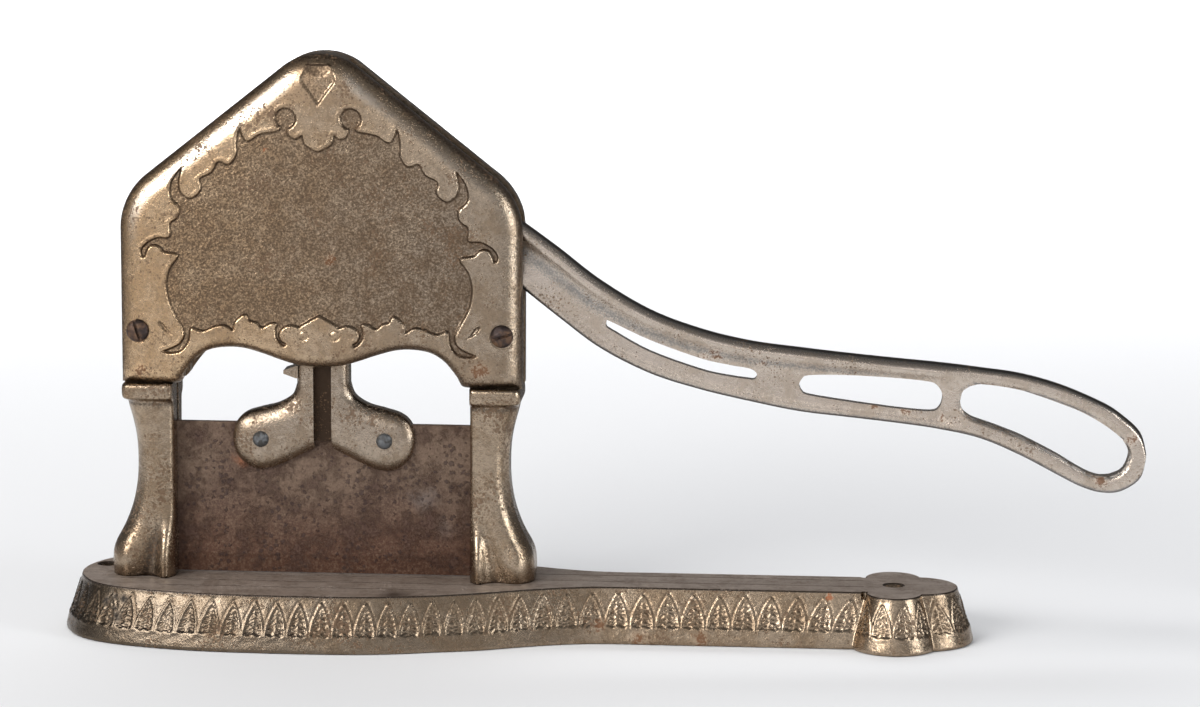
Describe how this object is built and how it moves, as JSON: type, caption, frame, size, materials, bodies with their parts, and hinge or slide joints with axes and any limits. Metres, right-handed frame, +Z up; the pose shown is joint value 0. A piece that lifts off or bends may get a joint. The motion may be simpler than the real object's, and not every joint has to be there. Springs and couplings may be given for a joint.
{
  "type": "plug tobacco cutter",
  "caption": "Counter-top plug tobacco cutter: guillotine knife in a gabled, scroll-decorated housing on a long base, worked by a looped lever handle.",
  "frame": {"origin": "on the counter, under the middle of the knife's edge, on the underside of the rib that backs the knife", "axes": "+X along the base towards the handle, +Y from the decorated front to the back, +Z up"},
  "size_m": [0.397, 0.087, 0.2132],
  "materials": {
    "nickel": "worn nickel plate, warm tarnish",
    "nickel_base": "worn nickel plate, scratched dull deck",
    "rusty_steel": "brown rust patina",
    "dark_steel": "dark oiled",
    "rivet_steel": "bluish grey, smooth"
  },
  "bodies": {
    "stand": {"base_casting": "nickel_base", "left_leg": "nickel", "right_leg": "nickel", "foot_screw_left": "dark_steel", "foot_screw_right": "dark_steel", "front_cover": "nickel", "back_cover": "nickel", "cover_screw_left": "rusty_steel", "cover_screw_right": "rusty_steel", "pivot_pin": "dark_steel"},
    "lever": {"lever": "nickel"},
    "knife": {"knife_carrier": "nickel", "knife_blade": "rusty_steel", "rivet_left": "rivet_steel", "rivet_right": "rivet_steel"}
  },
  "joints": [
    {"name": "lever_hinge", "type": "hinge", "parent": "stand", "child": "lever", "pos_m": [-0.0585, 0, 0.137], "axis": [0, -1, 0], "range_deg": [0, 34]},
    {"name": "knife_slide", "type": "slide", "parent": "stand", "child": "knife", "axis": [0, 0, 1], "range_m": [0, 0.0274]}
  ],
  "couplings": [
    {"joint": "knife_slide", "follows": "lever_hinge", "m_per_rad": 0.046}
  ]
}
